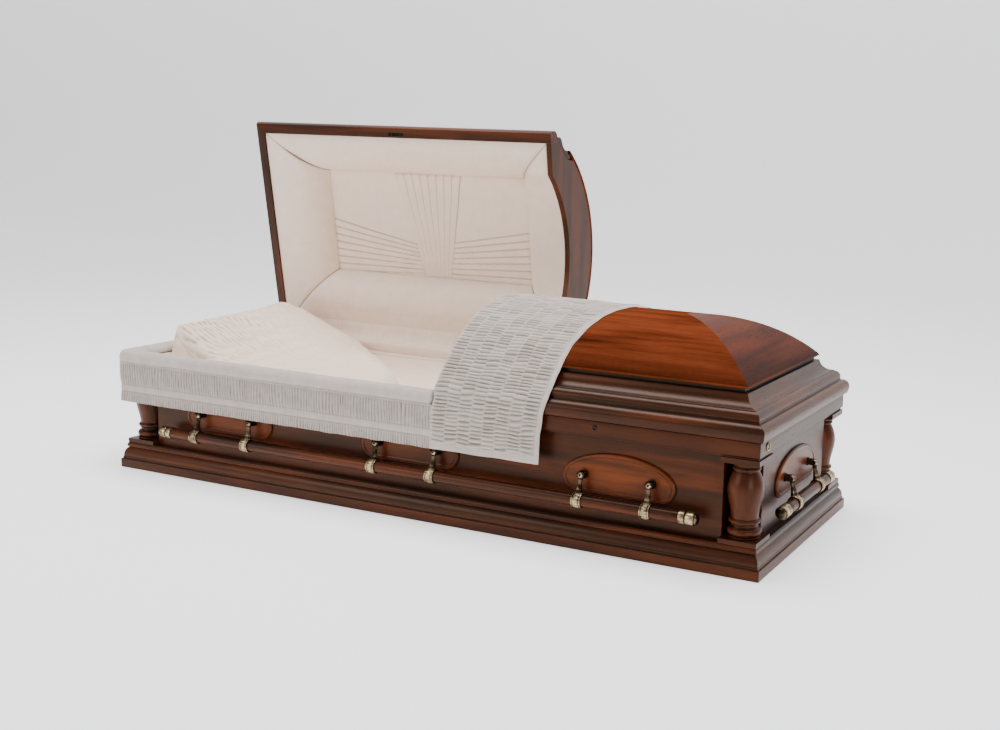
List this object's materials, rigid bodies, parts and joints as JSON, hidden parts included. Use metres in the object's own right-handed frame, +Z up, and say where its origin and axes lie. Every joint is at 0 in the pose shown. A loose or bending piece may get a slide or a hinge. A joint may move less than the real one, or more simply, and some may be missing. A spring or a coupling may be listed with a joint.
{
  "type": "funeral casket",
  "caption": "Full-size hardwood half-couch casket with a hipped arched lid, turned corner columns, swinging bar handles and an ivory cloth interior, shown with the head lid open.",
  "frame": {"origin": "middle of the underside, on the floor plane", "axes": "+X runs from the head end to the foot end, -Y is the front (the side the lids open from), +Z is up"},
  "size_m": [2.1684, 0.9591, 1.0864],
  "materials": {
    "red_brown_hardwood": "satin",
    "plain_board": "matte",
    "antique_brass": "satin",
    "dark_bronze": "satin",
    "ivory_cloth": "matte",
    "gathered_cloth": "satin"
  },
  "bodies": {
    "box": {"bottom_board": "plain_board", "base_moulding_front": "red_brown_hardwood", "base_moulding_back": "red_brown_hardwood", "base_moulding_head": "red_brown_hardwood", "base_moulding_foot": "red_brown_hardwood", "side_panel_front": "red_brown_hardwood", "side_panel_back": "red_brown_hardwood", "end_panel_head": "red_brown_hardwood", "end_panel_foot": "red_brown_hardwood", "corner_posts": "red_brown_hardwood", "corner_plinths": "red_brown_hardwood", "column_front_head": "red_brown_hardwood", "column_front_foot": "red_brown_hardwood", "column_back_head": "red_brown_hardwood", "column_back_foot": "red_brown_hardwood", "corner_caps": "red_brown_hardwood", "ledge_front": "red_brown_hardwood", "ledge_back": "red_brown_hardwood", "ledge_head": "red_brown_hardwood", "ledge_foot": "red_brown_hardwood", "plaques_front": "red_brown_hardwood", "plaques_back": "red_brown_hardwood", "plaque_head": "red_brown_hardwood", "plaque_foot": "red_brown_hardwood", "handle_lugs": "antique_brass", "key_escutcheon": "antique_brass", "record_tube_cap": "antique_brass", "box_hinge_leaves": "antique_brass", "bed": "ivory_cloth", "pillow": "ivory_cloth", "box_lining": "ivory_cloth", "apron_roll": "ivory_cloth", "apron_skirt": "gathered_cloth"},
    "head_lid": {"head_lid_rails": "red_brown_hardwood", "head_lid_crown": "red_brown_hardwood", "head_lid_header": "red_brown_hardwood", "head_lid_hinge_leaves": "antique_brass", "strike_plate": "dark_bronze", "head_lid_puffs": "ivory_cloth", "head_lid_panel": "ivory_cloth"},
    "foot_lid": {"foot_lid_rails": "red_brown_hardwood", "foot_lid_crown": "red_brown_hardwood", "foot_lid_header": "red_brown_hardwood", "foot_lid_hinge_leaves": "antique_brass", "foot_lid_puffs": "ivory_cloth", "foot_lid_panel": "ivory_cloth", "throw": "gathered_cloth"},
    "handle_front": {"bar_front": "red_brown_hardwood", "arms_front": "antique_brass"},
    "handle_back": {"bar_back": "red_brown_hardwood", "arms_back": "antique_brass"},
    "handle_head": {"bar_head": "red_brown_hardwood", "arms_head": "antique_brass"},
    "handle_foot": {"bar_foot": "red_brown_hardwood", "arms_foot": "antique_brass"}
  },
  "joints": [
    {"name": "head_lid_hinge", "type": "hinge", "parent": "box", "child": "head_lid", "pos_m": [0, 0.366, 0.3502], "axis": [1, 0, 0], "range_deg": [0, 81.5], "deforming": ["apron_roll", "pillow"]},
    {"name": "foot_lid_hinge", "type": "hinge", "parent": "box", "child": "foot_lid", "pos_m": [0, 0.366, 0.3502], "axis": [-1, 0, 0], "range_deg": [0, 81.5]},
    {"name": "handle_front_swing", "type": "hinge", "parent": "box", "child": "handle_front", "pos_m": [0, -0.362, 0.2], "axis": [-1, 0, 0], "range_deg": [0, 75]},
    {"name": "handle_back_swing", "type": "hinge", "parent": "box", "child": "handle_back", "pos_m": [0, 0.362, 0.2], "axis": [1, 0, 0], "range_deg": [0, 75]},
    {"name": "handle_foot_swing", "type": "hinge", "parent": "box", "child": "handle_foot", "pos_m": [1.05, 0, 0.2], "axis": [0, -1, 0], "range_deg": [0, 75]},
    {"name": "handle_head_swing", "type": "hinge", "parent": "box", "child": "handle_head", "pos_m": [-1.05, 0, 0.2], "axis": [0, 1, 0], "range_deg": [0, 75]}
  ]
}
